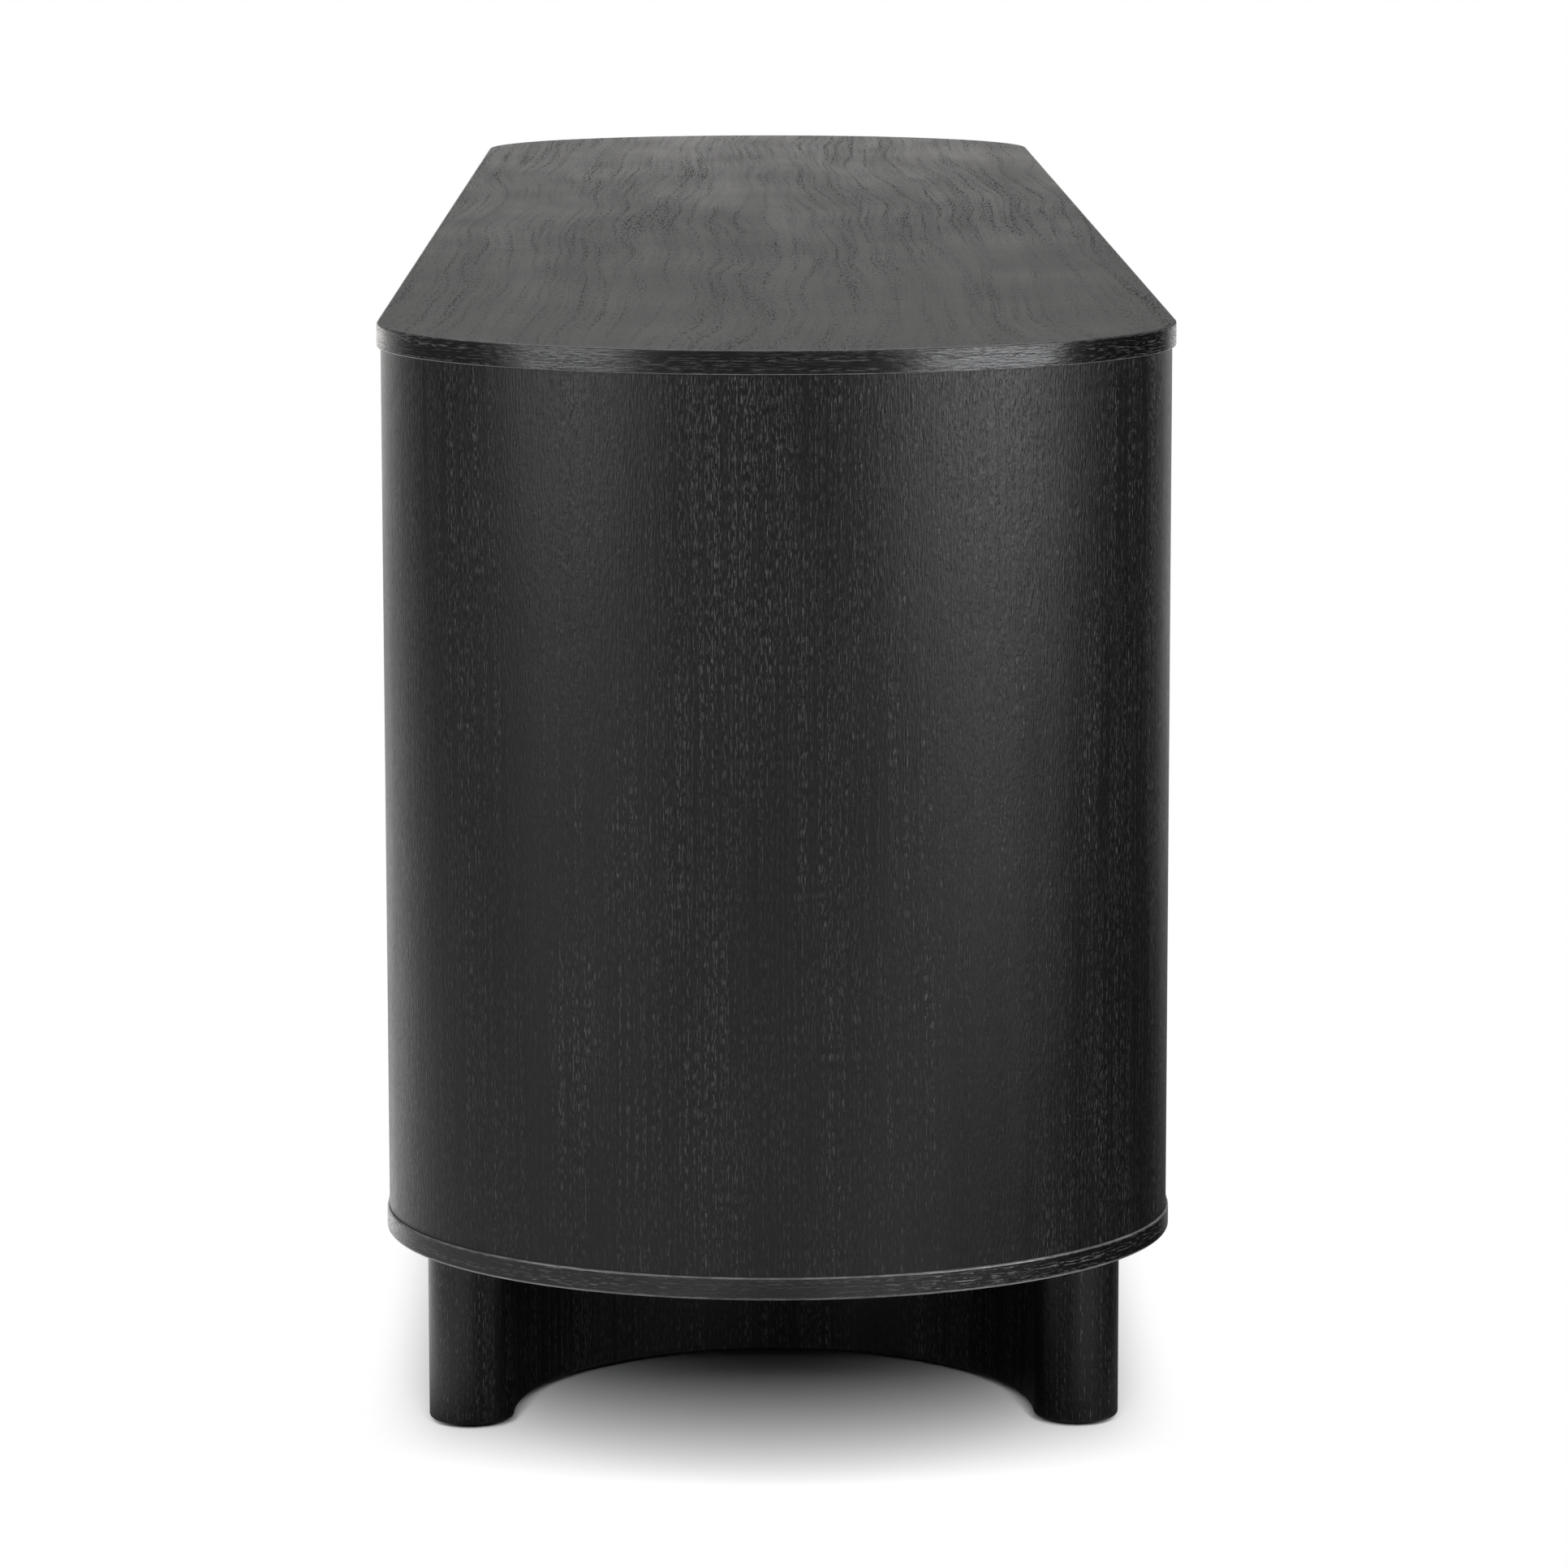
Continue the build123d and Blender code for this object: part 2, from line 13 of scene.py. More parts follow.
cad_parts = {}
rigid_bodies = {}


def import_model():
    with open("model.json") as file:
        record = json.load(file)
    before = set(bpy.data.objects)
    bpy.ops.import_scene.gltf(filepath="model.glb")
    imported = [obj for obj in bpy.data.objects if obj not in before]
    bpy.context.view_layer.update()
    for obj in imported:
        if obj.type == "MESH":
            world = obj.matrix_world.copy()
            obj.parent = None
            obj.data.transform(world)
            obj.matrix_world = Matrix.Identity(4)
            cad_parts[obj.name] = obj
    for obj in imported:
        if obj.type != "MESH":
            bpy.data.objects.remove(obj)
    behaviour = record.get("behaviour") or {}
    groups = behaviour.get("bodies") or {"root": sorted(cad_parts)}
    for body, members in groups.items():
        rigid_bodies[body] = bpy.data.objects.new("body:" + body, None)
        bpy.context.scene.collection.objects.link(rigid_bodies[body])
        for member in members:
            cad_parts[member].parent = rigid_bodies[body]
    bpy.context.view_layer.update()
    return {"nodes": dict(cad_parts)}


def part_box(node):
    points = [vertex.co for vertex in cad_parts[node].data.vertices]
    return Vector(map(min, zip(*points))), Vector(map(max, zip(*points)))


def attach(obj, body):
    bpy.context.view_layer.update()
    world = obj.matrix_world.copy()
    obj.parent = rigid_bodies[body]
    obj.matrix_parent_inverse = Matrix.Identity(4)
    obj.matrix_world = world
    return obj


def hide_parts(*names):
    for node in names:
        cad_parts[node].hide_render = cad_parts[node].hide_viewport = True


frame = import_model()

CABINET = "cabinet"
ROWS = ("lower", "upper")
COLUMNS = ("left", "middle", "right")
DRAWERS = [f"drawer_{row}_{column}" for row in ROWS for column in COLUMNS]
MAP = "grain"  # the UV map: metres along the grain, then metres across it
WEAR_AND_HIGHLIGHT = "wear_and_highlight"  # a number at each vertex, 1 where an edge is rubbed and the wood paints a highlight on it

# Sizes of details, in metres
END_REACH = 0.196  # of a half-elliptical end of the top
SHELL_THICK = 0.015
SLAB_ROUND = 0.0012
SLAB_UNDER_ROUND = 0.0006
BASE_ROUND = 0.0013
BASE_UNDER_ROUND = 0.0016
BASE_INSET = 0.0009
BODY_INSET = 0.0023
CORNER_ROUND = 0.0006
FRONT_ROUND = 0.0012
SCOOP_WIDTH = 0.112
SCOOP_DEPTH = 0.030
LEG_THICK = 0.054
FOOT_ROUND = 0.0025
GLIDE_RADIUS = 0.010
GLIDE_ROUND = 0.002
GLIDE_TALL = 0.005
GLIDE_TOP_ROUND = 0.0004
GLIDE_DISH = (0.0045, 0.0006)  # how far in from the rim the sole of a glide is dished, and how deep

ROUND_STEPS = 5
ARC_STEPS = 128
NOSE_STEPS = 32
SCOOP_STEPS = 40
CIRCLE_STEPS = 48
SHARP_EDGE = math.radians(40)
TINY = 1e-9


# ---------------------------------------------------------------- outlines

def arc(centre, radii, start, sweep, steps):
    """Points along an arc of an ellipse, both ends included. Angles are in degrees."""
    points = []
    for step in range(steps + 1):
        angle = math.radians(start + sweep * step / steps)
        x = centre[0] + radii[0] * math.cos(angle)
        y = centre[1] + radii[1] * math.sin(angle)
        points.append((x, y))
    return points


def without_repeats(points, tolerance=1e-6):
    """The closed outline without points that sit on the one before."""
    kept = []
    for index, point in enumerate(points):
        if math.dist(point, points[index - 1]) > tolerance:
            kept.append(point)
    return kept


def eased(points, radius, sharpest=30.0, steps=4):
    """The closed outline with each corner sharper than so many degrees rounded to a radius."""
    out = []
    count = len(points)
    for index, point in enumerate(points):
        here = Vector(point)
        back = (Vector(points[index - 1]) - here).normalized()
        ahead = (Vector(points[(index + 1) % count]) - here).normalized()
        turn = math.degrees(math.pi - back.angle(ahead))
        if turn < sharpest:
            out.append(point)
            continue
        half = back.angle(ahead) / 2
        reach = radius / math.tan(half)
        centre = here + (back + ahead).normalized() * radius / math.sin(half)
        first = here + back * reach - centre
        last = here + ahead * reach - centre
        for step in range(steps + 1):
            share = step / steps
            spoke = (first * (1 - share) + last * share).normalized() * radius
            out.append(tuple(centre + spoke))
    return out


def outward(points):
    """At each point of a counter-clockwise outline, the step that moves both its edges out by 1."""
    steps = []
    count = len(points)
    for index, point in enumerate(points):
        here = Vector(point)
        into = (here - Vector(points[index - 1])).normalized()
        out = (Vector(points[(index + 1) % count]) - here).normalized()
        side = Vector((into.y + out.y, -into.x - out.x))
        steps.append(side * 2 / side.length_squared)
    return steps


def rounded_plan(end_x, reach, half):
    """A long outline with straight sides and half-elliptical ends."""
    right = arc((end_x, 0), (reach, half), -90, 180, ARC_STEPS)
    left = arc((-end_x, 0), (reach, half), 90, 180, ARC_STEPS)
    return without_repeats(right + left)


def profile(low, high, low_round, high_round, low_rub_and_highlight=1.0, high_rub_and_highlight=1.0):
    """The side of a board from its underside up, as (inset, height, how rubbed and how much painted
    highlight it gets).
    """
    rings = []
    for step in range(ROUND_STEPS + 1 if low_round else 1):
        angle = math.pi / 2 * step / ROUND_STEPS
        inset = low_round * (1 - math.sin(angle))
        rubbed_and_highlit = low_rub_and_highlight * math.sin(2 * angle)
        rings.append((inset, low + low_round * (1 - math.cos(angle)), rubbed_and_highlit))
    for step in range(ROUND_STEPS + 1 if high_round else 1):
        angle = math.pi / 2 * step / ROUND_STEPS
        inset = high_round * (1 - math.cos(angle))
        rubbed_and_highlit = high_rub_and_highlight * math.sin(2 * angle)
        rings.append((inset, high - high_round * (1 - math.sin(angle)), rubbed_and_highlit))
    return rings


# ---------------------------------------------------------------- meshes

def flat(a, b, height):
    """An outline in plan, rising along +Z."""
    return (a, b, height)


def upright(a, b, height):
    """An outline seen from the drawer side, rising towards -Y."""
    return (a, -height, b)


def around(radius, centre=(0, 0)):
    """A circle as a closed outline."""
    return arc(centre, (radius, radius), 0, 360, CIRCLE_STEPS)[:-1]


def cross(reach, half):
    """The outline of a cross recess, point by point at the same angles as a circle's."""
    points = []
    for x, y in around(1.0):
        wide = max(abs(x), TINY)
        tall = max(abs(y), TINY)
        in_flat_arm = min(reach / wide, half / tall)
        in_upright_arm = min(reach / tall, half / wide)
        far = max(in_flat_arm, in_upright_arm)
        points.append((x * far, y * far))
    return points


def loft(rings, place):
    """Vertices, faces, map, slots and edge wear (a painted highlight too) of outlines of equal length,
    joined in turn.
    """
    count = len(rings[0][0])
    verts = [place(a, b, height) for outline, height in rings for a, b in outline]
    faces = [list(range(count))[::-1]]
    for ring in range(len(rings) - 1):
        for index in range(count):
            after = (index + 1) % count
            low, high = ring * count, (ring + 1) * count
            faces.append([low + index, low + after, high + after, high + index])
    faces.append(list(range((len(rings) - 1) * count, len(rings) * count)))
    maps = [[(0.0, 0.0)] * len(face) for face in faces]
    return verts, faces, maps, [0] * len(faces), [0.0] * len(verts)


def prism(outline, rings, place=flat, along="round", shift=(0.0, 0.0), edge_slot=0, face_slot=0):
    """Vertices, faces, map, slots and edge wear (a painted highlight too) of an outline swept through
    its rings.

    along says which way the grain runs on the sides, "round" the outline or "up" it. On the two
    flat faces it runs along the outline's first coordinate.
    """
    steps = outward(outline)
    count = len(outline)
    lengths = [0.0]
    for index in range(count):
        lengths.append(lengths[-1] + math.dist(outline[index], outline[(index + 1) % count]))
    verts, wear_and_highlight, faces, maps, slots = [], [], [], [], []
    for inset, height, rubbed_and_highlit in rings:
        for (a, b), step in zip(outline, steps):
            verts.append(place(a - step.x * inset, b - step.y * inset, height))
            wear_and_highlight.append(rubbed_and_highlit)
    climb = [0.0]
    for low, high in zip(rings, rings[1:]):
        climb.append(climb[-1] + math.dist(low[:2], high[:2]))
    for ring in range(len(rings) - 1):
        for index in range(count):
            after = (index + 1) % count
            corners = ((ring, index), (ring, after), (ring + 1, after), (ring + 1, index))
            faces.append([level * count + spot for level, spot in corners])
            ends = (lengths[index], lengths[index + 1], lengths[index + 1], lengths[index])
            spots = []
            for (level, _), length in zip(corners, ends):
                pair = (length, climb[level]) if along == "round" else (climb[level], length)
                spots.append((pair[0] + shift[0], pair[1] + shift[1]))
            maps.append(spots)
            slots.append(edge_slot)
    plan_map = [(a + shift[0], b + shift[1]) for a, b in outline]
    top = (len(rings) - 1) * count
    for face in (list(range(count))[::-1], list(range(top, top + count))):
        faces.append(face)
        maps.append([plan_map[vertex % count] for vertex in face])
        slots.append(face_slot)
    return verts, faces, maps, slots, wear_and_highlight


def merged(parts):
    """Several such meshes as one."""
    verts, faces, maps, slots, wear_and_highlight = [], [], [], [], []
    for part in parts:
        start = len(verts)
        verts += part[0]
        faces += [[v + start for v in face] for face in part[1]]
        maps += part[2]
        slots += part[3]
        wear_and_highlight += part[4]
    return verts, faces, maps, slots, wear_and_highlight


def piece(name, parts, materials, body, nodes):
    """A mesh object with its map, edge wear and painted highlight, smooth shading and materials, riding
    on its body.
    """
    verts, faces, maps, slots, wear_and_highlight = merged(parts)
    mesh = bpy.data.meshes.new(name)
    mesh.from_pydata(verts, [], faces)
    layer = mesh.uv_layers.new(name=MAP)
    flat_map = [number for face in maps for spot in face for number in spot]
    layer.data.foreach_set("uv", flat_map)
    # Per-vertex edge wear, which the wood also uses to paint a highlight along rounded edges
    rubbed_and_highlit = mesh.attributes.new(WEAR_AND_HIGHLIGHT, "FLOAT", "POINT")
    rubbed_and_highlit.data.foreach_set("value", wear_and_highlight)
    mesh.polygons.foreach_set("material_index", slots)
    mesh.polygons.foreach_set("use_smooth", [True] * len(faces))
    for material in materials:
        mesh.materials.append(material)
    mesh.set_sharp_from_angle(angle=SHARP_EDGE)
    mesh.update()
    made = bpy.data.objects.new(name, mesh)
    bpy.context.scene.collection.objects.link(made)
    normals = made.modifiers.new("normals", "WEIGHTED_NORMAL")
    normals.keep_sharp = True
    normals.weight = 100
    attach(made, body)
    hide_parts(*nodes)


# ---------------------------------------------------------------- materials

class Tree:
    """The nodes of a material or of the world, built one at a time."""

    def __init__(self, owner):
        self.owner = owner
        owner.use_nodes = True
        self.nodes = owner.node_tree.nodes
        self.links = owner.node_tree.links
        self.nodes.clear()

    def node(self, kind, inputs, output=0, **settings):
        """Adds a node, sets or links its inputs, and gives back one output."""
        made = self.nodes.new(kind)
        for key, value in settings.items():
            setattr(made, key, value)
        for key, value in inputs.items():
            if isinstance(value, bpy.types.NodeSocket):
                self.links.new(value, made.inputs[key])
            else:
                made.inputs[key].default_value = value
        return made.outputs[output] if made.outputs else None

    def math(self, operation, a, b=0.0):
        return self.node("ShaderNodeMath", {0: a, 1: b}, operation=operation)

    def vector(self, operation, a, b=(0.0, 0.0, 0.0), output=0):
        return self.node("ShaderNodeVectorMath", {0: a, 1: b}, output, operation=operation)

    def length(self, a):
        return self.vector("LENGTH", a, output=1)

    def split(self, vector):
        """The three parts of a vector."""
        parts = self.nodes.new("ShaderNodeSeparateXYZ")
        self.links.new(vector, parts.inputs[0])
        return parts.outputs

    def joined(self, x, y, z):
        return self.node("ShaderNodeCombineXYZ", {0: x, 1: y, 2: z})

    def noise(self, vector, scale, detail=2.0, roughness=0.5):
        """Smooth noise with so many features to a metre along each coordinate."""
        inputs = {
            "Vector": self.vector("MULTIPLY", vector, scale),
            "Scale": 1.0,
            "Detail": detail,
            "Roughness": roughness,
        }
        return self.node("ShaderNodeTexNoise", inputs)

    def step(self, value, low, high, start=0.0, end=1.0):
        """start below low, end above high, and a soft step between."""
        inputs = {
            "Value": value,
            "From Min": low,
            "From Max": high,
            "To Min": start,
            "To Max": end,
        }
        return self.node("ShaderNodeMapRange", inputs, interpolation_type="SMOOTHSTEP")

    def mix(self, share, a, b):
        inputs = {0: share, 6: a, 7: b}
        return self.node("ShaderNodeMix", inputs, 2, data_type="RGBA")

    def bump(self, height):
        """The normal of a surface with so much relief, in metres."""
        return self.node("ShaderNodeBump", {"Height": height, "Distance": 1.0, "Strength": 1.0})

    def finish(self, **inputs):
        """The shader and the output. Underscores in input names stand for spaces."""
        named = {key.replace("_", " "): value for key, value in inputs.items()}
        shader = self.node("ShaderNodeBsdfPrincipled", named)
        self.node("ShaderNodeOutputMaterial", {"Surface": shader})
        return self.owner


def material_tree(name):
    return Tree(bpy.data.materials.new(name))


def grey(level, tint=(1.0, 1.0, 1.0)):
    return tuple(level * part for part in tint) + (1.0,)


def mapped(tree):
    """Along and across the grain, from the mesh's own map."""
    return tree.node("ShaderNodeUVMap", {}, uv_map=MAP)


def object_place(tree):
    return tree.node("ShaderNodeTexCoord", {}, 3)


def solid(order):
    """Along and across the grain of a board from the frame. order lists its axes, the grain's first."""
    def coordinates(tree):
        parts = tree.split(object_place(tree))
        return tree.joined(*[parts[axis] for axis in order])
    return coordinates


# How many features of each kind there are to a metre, along the grain and then across it
RIPPLES = (14.0, 70.0)
RINGS = (0.8, 34.0)
FIBRES = (140.0, 950.0)
GROWTH_LINES = (0.9, 75.0)
CHIPS = (60.0, 160.0)
CLOUDS = (5.0, 9.0)
SWELLS = (6.0, 16.0)
GRIT = (380.0, 420.0)
PATCHES_FROM = (4.7, 0.3, 1.5)  # m, where in the noise the patches of pores are taken from

BAND = (0.3, 0.7)  # the noise values between which most tones change
GROWTH_BAND = (0.09, 0.02)  # how near the middle of its noise a growth line lies
CHIP_LEAST = 0.6
CLOUD_SHINE = 0.03  # how much the roughness drifts over a board
RING_SHINE = 0.02


def stretched(scale):
    """Both numbers of a scale as three, the same in the two directions across the grain."""
    return (scale[0], scale[1], scale[1])


def grain_lines(tree, place, look):
    """The place on the board, shifted across the grain so that straight lines in it wander."""
    along, across, depth = tree.split(place)
    wander = tree.noise(place, stretched(look["wander_scale"]), 2.0)
    wander = tree.math("MULTIPLY", tree.math("SUBTRACT", wander, 0.5), look["wander"])
    line = tree.math("ADD", across, wander)
    if look["ripple"]:
        ripple = tree.noise(place, stretched(RIPPLES), 1.0)
        ripple = tree.math("MULTIPLY", tree.math("SUBTRACT", ripple, 0.5), look["ripple"])
        line = tree.math("ADD", line, ripple)
    return tree.joined(along, line, depth)


def open_pores(tree, grain, look):
    """Where the pores are: short dashes, in streaks and patches and thickest on growth lines."""
    pores = tree.noise(grain, stretched(look["pore_scale"]), 2.0, 0.6)
    pores = tree.step(pores, *look["pore_limits"])
    streaks = tree.noise(grain, stretched(look["streak_scale"]), 1.0)
    streaks = tree.step(streaks, 0.42, 0.62, look["streak_least"], 1.0)
    elsewhere = tree.vector("ADD", grain, PATCHES_FROM)
    patches = tree.noise(elsewhere, stretched(look["patch_scale"]), 2.0)
    patches = tree.step(patches, 0.34, 0.66, look["patch_least"], 1.0)
    pores = tree.math("MULTIPLY", tree.math("MULTIPLY", pores, streaks), patches)
    growth = tree.math("SUBTRACT", tree.noise(grain, stretched(GROWTH_LINES), 0.0), 0.5)
    growth = tree.step(tree.math("ABSOLUTE", growth), *GROWTH_BAND, 1.0 - look["growth"], 1.0)
    return tree.math("MULTIPLY", pores, growth)


def worn_and_highlit_edges(tree, place, look):
    """How far the finish is rubbed off and an edge is lightened with a painted highlight, a little
    unevenly along it.
    """
    rubbed_and_highlit = tree.node("ShaderNodeAttribute", {}, 2, attribute_name=WEAR_AND_HIGHLIGHT)
    chips = tree.noise(place, stretched(CHIPS), 3.0, 0.7)
    chips = tree.step(chips, 0.42, 0.62, CHIP_LEAST, 1.0)
    return tree.math("MULTIPLY", tree.math("MULTIPLY", rubbed_and_highlit, chips), look["wear_and_highlight"])


def wood(name, coordinates, look):
    """Open-grained wood: a wandering grain, tone along it, pores, fibres and rubbed edges lightened
    partly as wear and partly as a painted highlight.
    """
    tree = material_tree(name)
    place = coordinates(tree)
    grain = grain_lines(tree, place, look)
    rings = tree.noise(grain, stretched(RINGS), 3.0, 0.6)
    fibres = tree.noise(grain, stretched(FIBRES), 2.0)
    pores = open_pores(tree, grain, look)

    tone = tree.mix(tree.step(rings, *BAND), look["dark"], look["light"])
    tone = tree.mix(tree.step(fibres, *BAND, 0.0, look["fibre_tone"]), tone, look["pale"])
    tone = tree.mix(tree.math("MULTIPLY", pores, look["pore_tone"]), tone, look["pore"])
    # Edges are lightened towards the worn colour: partly wear, partly a painted highlight of the bright
    # line a rounded edge catches
    tone = tree.mix(worn_and_highlit_edges(tree, place, look), tone, look["worn_and_highlight"])

    cloud = tree.noise(place, stretched(CLOUDS), 3.0, 0.6)
    least = look["rough"] - CLOUD_SHINE
    most = look["rough"] + CLOUD_SHINE
    shine = tree.step(cloud, 0.25, 0.75, least, most)
    shine = tree.math("ADD", shine, tree.step(rings, *BAND, -RING_SHINE, RING_SHINE))
    shine = tree.math("ADD", shine, tree.math("MULTIPLY", pores, look["pore_rough"]))

    dents = tree.math("MULTIPLY", pores, -look["pore_deep"])
    ribs = tree.math("MULTIPLY", fibres, look["fibre_deep"])
    swell = tree.math("MULTIPLY", tree.noise(place, stretched(SWELLS), 1.0), look["swell"])
    grit = tree.math("MULTIPLY", tree.noise(place, stretched(GRIT), 1.0), look["grit"])
    height = tree.math("ADD", tree.math("ADD", dents, ribs), tree.math("ADD", swell, grit))
    return tree.finish(
        Base_Color=tone,
        Roughness=shine,
        Specular_IOR_Level=look["specular"],
        Normal=tree.bump(height),
    )


# What each kind of wood looks like: colours, how far the grain wanders in metres, features to a
# metre as (along, across), shares from 0 to 1, and the depth of its relief in metres.
BLACK = {
    "dark": grey(0.0035, (1.0, 0.98, 0.99)),
    "light": grey(0.0060, (1.0, 0.97, 0.95)),
    "pale": grey(0.0130, (1.0, 0.98, 0.96)),
    "pore": grey(0.1150, (1.0, 0.98, 0.96)),
    # Rubbed edges are lightened towards this: partly wear, partly a painted highlight
    "worn_and_highlight": grey(0.0900, (1.0, 0.97, 0.94)),
    "wander": 0.008,
    "wander_scale": (0.9, 4.0),
    "ripple": 0.0,
    "streak_scale": (6.0, 640.0),
    "streak_least": 0.10,
    "patch_scale": (2.2, 26.0),
    "patch_least": 0.20,
    "pore_scale": (190.0, 1250.0),
    "pore_limits": (0.52, 0.58),
    "pore_tone": 1.0,
    "growth": 0.35,
    "fibre_tone": 0.50,
    "wear_and_highlight": 0.5,
    "rough": 0.33,
    "pore_rough": 0.15,
    "pore_deep": 0.00050,
    "fibre_deep": 0.00024,
    "swell": 0.00025,
    "grit": 0.00009,
    "specular": 0.5,
}
FIGURED = {
    **BLACK,
    "dark": grey(0.0080, (1.0, 0.97, 0.94)),
    "light": grey(0.0130, (1.0, 0.96, 0.92)),
    "pore": grey(0.0040),
    "wander": 0.085,
    "wander_scale": (1.3, 5.0),
    "ripple": 0.0016,
    "streak_scale": (5.0, 260.0),
    "streak_least": 0.30,
    "patch_scale": (1.6, 12.0),
    "patch_least": 0.25,
    "growth": 0.65,
    "pore_scale": (80.0, 1000.0),
    "pore_limits": (0.50, 0.58),
    "pore_tone": 0.80,
    "pore_rough": 0.55,
    "pore_deep": 0.00030,
}
EDGE = {
    **BLACK,
    # Light grey on the rubbed edges of top and base: partly wear, partly a painted highlight along
    # their rounding
    "worn_and_highlight": grey(0.3800, (1.0, 0.97, 0.94)),
    "wear_and_highlight": 0.85,
    "pore_scale": (110.0, 1150.0),
    "fibre_deep": 0.00012,
    "patch_least": 0.5,
    "rough": 0.24,
    "specular": 0.75,
    "pore_rough": 0.22,
    "pore_deep": 0.00018,
    "grit": 0.00004,
}
CARCASS = {
    **BLACK,
    "dark": grey(0.020, (1.0, 0.97, 0.94)),
    "light": grey(0.030, (1.0, 0.96, 0.92)),
    "pale": grey(0.042, (1.0, 0.96, 0.92)),
    "pore": grey(0.012),
    "rough": 0.58,
    "wear_and_highlight": 0.0,
}
PALE = {
    **BLACK,
    "dark": (0.42, 0.27, 0.145, 1.0),
    "light": (0.56, 0.40, 0.24, 1.0),
    "pale": (0.62, 0.47, 0.30, 1.0),
    "pore": (0.25, 0.15, 0.08, 1.0),
    "wander": 0.016,
    "wander_scale": (1.4, 7.0),
    "pore_limits": (0.60, 0.74),
    "pore_tone": 0.55,
    "wear_and_highlight": 0.0,
    "rough": 0.42,
    "pore_rough": 0.15,
    "pore_deep": 0.00005,
    "swell": 0.0001,
}
PLY = {
    **PALE,
    "dark": (0.48, 0.35, 0.21, 1.0),
    "light": (0.60, 0.47, 0.31, 1.0),
    "wander": 0.08,
    "wander_scale": (1.2, 5.0),
    "rough": 0.48,
}


EVEN = (1.0, 1.0, 1.0)
ALONG_Y = (1.0, 0.03, 1.0)
SMOOTH_CLOUDS = 22.0  # to a metre
SCRATCHES = 900.0  # to a metre
SCRATCH_DEEP = 0.00002


def moulded(name, colour, other, roughness, metallic=0.0, stretch=EVEN):
    """Metal, plastic or rubber: two tones that cloud into each other, with fine scratches."""
    tree = material_tree(name)
    place = object_place(tree)
    clouds = tree.noise(place, (SMOOTH_CLOUDS,) * 3, 4.0, 0.6)
    fine = tree.noise(place, tuple(SCRATCHES * part for part in stretch), 2.0, 0.6)
    tone = tree.mix(tree.step(clouds, *BAND), colour, other)
    tone = tree.mix(tree.step(fine, 0.55, 0.75, 0.0, 0.35), tone, other)
    shine = tree.step(clouds, 0.25, 0.75, roughness - 0.06, roughness + 0.06)
    shine = tree.math("ADD", shine, tree.step(fine, *BAND, -0.06, 0.08))
    normal = tree.bump(tree.math("MULTIPLY", fine, SCRATCH_DEEP))
    return tree.finish(Base_Color=tone, Roughness=shine, Metallic=metallic, Normal=normal)


BLACK_STRAIGHT = wood("black_wood_straight", mapped, BLACK)
BLACK_FIGURED = wood("black_wood_figured", mapped, FIGURED)
BLACK_EDGE = wood("black_wood_edge", mapped, EDGE)
STEEL = moulded("zinc_steel", (0.50, 0.51, 0.52, 1), (0.66, 0.66, 0.64, 1), 0.36, 1.0, ALONG_Y)
BLACK_STEEL = moulded("blackened_steel", (0.035, 0.035, 0.037, 1), (0.075, 0.074, 0.074, 1), 0.45)
BRASS = moulded("turned_brass", (0.70, 0.52, 0.22, 1), (0.80, 0.62, 0.32, 1), 0.30, 1.0)
NYLON = moulded("black_nylon", (0.012, 0.012, 0.012, 1), (0.022, 0.022, 0.023, 1), 0.50)
RUBBER = moulded("dark_rubber", (0.085, 0.085, 0.085, 1), (0.12, 0.12, 0.118, 1), 0.78)


# ---------------------------------------------------------------- boards that show

slab_low, slab_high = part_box("top_panel")
base_low, base_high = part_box("base_panel")
body_low, body_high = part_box("end_panel_right")
end_x = body_low.x
half_depth = slab_high.y

piece(
    "top_slab",
    [
        prism(
            rounded_plan(end_x, END_REACH, half_depth),
            # The upper edge gets less of the painted highlight than the lower edge
            profile(slab_low.z, slab_high.z, SLAB_UNDER_ROUND, SLAB_ROUND, high_rub_and_highlight=0.3),
            face_slot=1,
        )
    ],
    [BLACK_EDGE, BLACK_FIGURED],
    CABINET,
    ["top_panel"],
)
piece(
    "base_slab",
    [
        prism(
            rounded_plan(end_x, END_REACH - BASE_INSET, half_depth - BASE_INSET),
            profile(base_low.z, base_high.z, BASE_UNDER_ROUND, BASE_ROUND),
            shift=(3.1, 2.7),
            face_slot=1,
        )
    ],
    [BLACK_EDGE, BLACK_FIGURED],
    CABINET,
    ["base_panel"],
)


def end_shell(side):
    """A bent end panel, side 1 at +X and -1 at -X. The grain stands upright."""
    reach = END_REACH - BODY_INSET
    half = half_depth - BODY_INSET
    inner = (reach - SHELL_THICK, half - SHELL_THICK)
    centre = (side * end_x, 0)
    start = -90 if side > 0 else 90
    outer_line = arc(centre, (reach, half), start, 180, ARC_STEPS)
    inner_line = arc(centre, inner, start + 180, -180, ARC_STEPS)
    outline = eased(without_repeats(outer_line + inner_line), CORNER_ROUND, 60.0)
    return prism(
        outline,
        profile(body_low.z, body_high.z, 0.0, 0.0),
        along="up",
        shift=(1.3 + side, 5.0 * side),
    )


for side, side_name in ((1, "right"), (-1, "left")):
    piece(
        f"end_shell_{side_name}",
        [end_shell(side)],
        [BLACK_STRAIGHT],
        CABINET,
        [f"end_panel_{side_name}"],
    )


